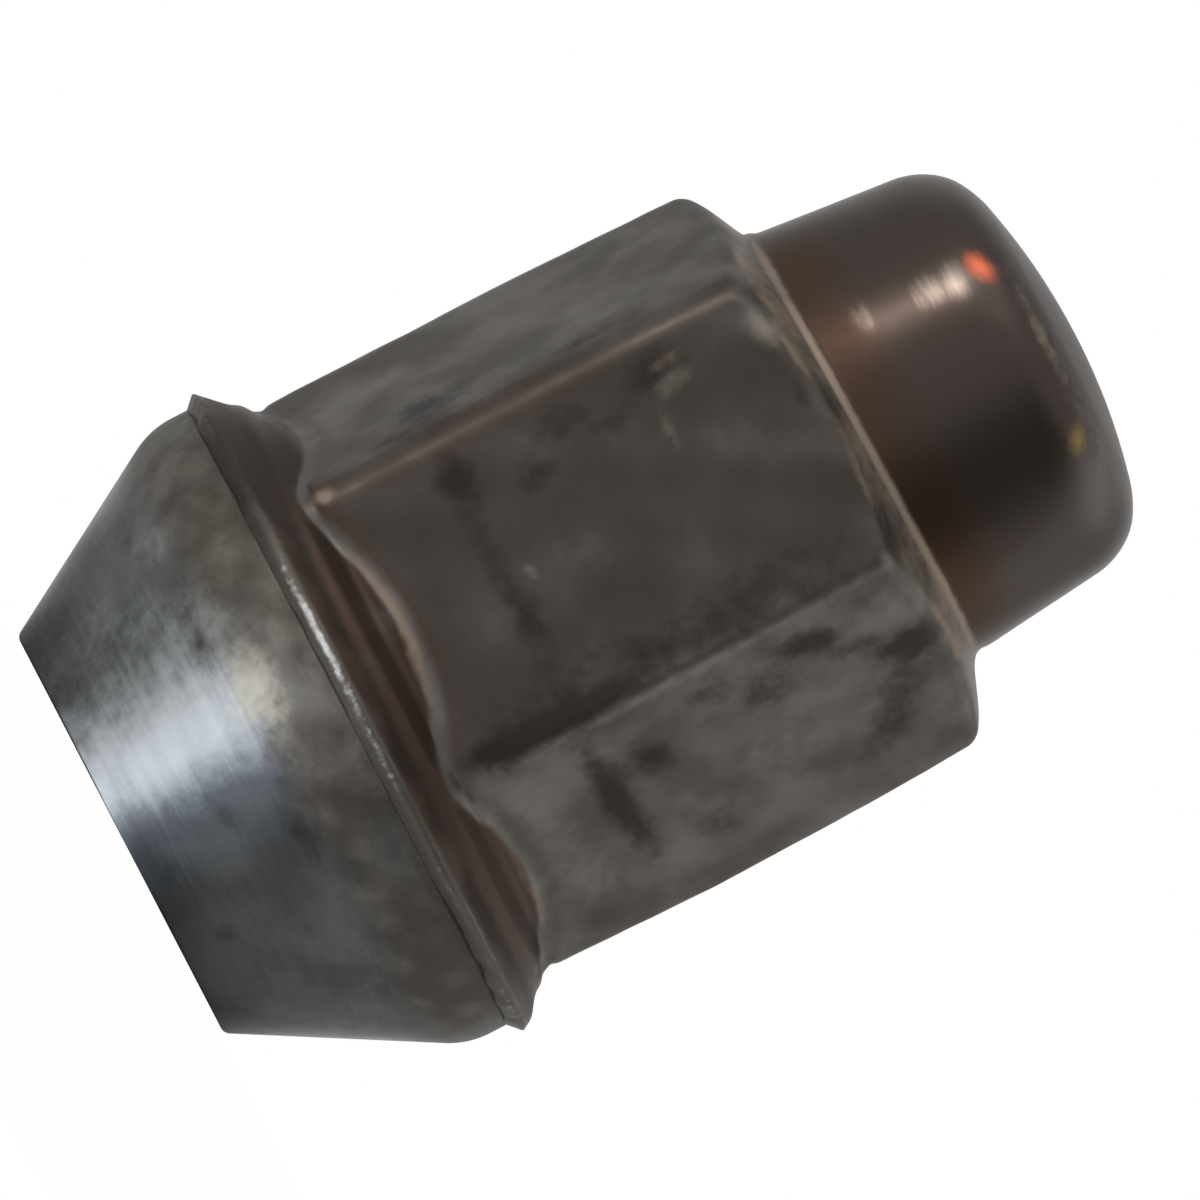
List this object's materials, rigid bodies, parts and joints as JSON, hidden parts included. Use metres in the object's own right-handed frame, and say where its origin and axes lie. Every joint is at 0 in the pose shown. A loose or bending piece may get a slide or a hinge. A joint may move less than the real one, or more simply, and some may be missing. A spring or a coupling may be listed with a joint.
{
  "type": "wheel nut",
  "caption": "Worn closed wheel nut with a conical seat, a hexagon and a round capped end, its steel core jacketed in pressed sheet.",
  "frame": {"origin": "centre of the open end of the seat, on the thread axis, where the nut stands", "axes": "+Z along the thread axis from the open end to the capped end, with two flats of the hexagon square to Y"},
  "size_m": [0.024, 0.024, 0.0361],
  "materials": {
    "steel": "turned, worn and tarnished",
    "sheet": "satin, stained brown"
  },
  "bodies": {
    "root": {"nut_core": "steel", "cap": "sheet"}
  },
  "joints": []
}
